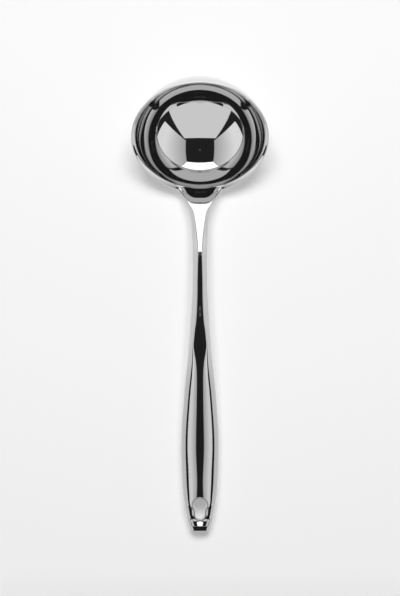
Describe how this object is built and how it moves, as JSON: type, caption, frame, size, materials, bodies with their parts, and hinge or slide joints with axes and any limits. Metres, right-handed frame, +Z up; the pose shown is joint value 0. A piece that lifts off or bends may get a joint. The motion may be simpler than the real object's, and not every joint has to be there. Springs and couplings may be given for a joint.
{
  "type": "soup ladle",
  "caption": "Soup ladle with a deep round bowl, a flared pouring lip, a slim neck and a hollow handle with a hanging hole.",
  "frame": {"origin": "centre of the ladle's bounding box, on the surface that it lies on", "axes": "+Y along the ladle towards the bowl, +X across it, +Z up from the table as it lies"},
  "size_m": [0.0954, 0.317, 0.0725],
  "materials": {
    "polished_steel": "mirror-polished stainless steel",
    "liner_steel": "polished stainless steel, slightly duller inside the hole"
  },
  "bodies": {
    "root": {"bowl": "polished_steel", "shank": "polished_steel", "upper_shell": "polished_steel", "lower_shell": "polished_steel", "hanger_liner": "liner_steel"}
  },
  "joints": []
}
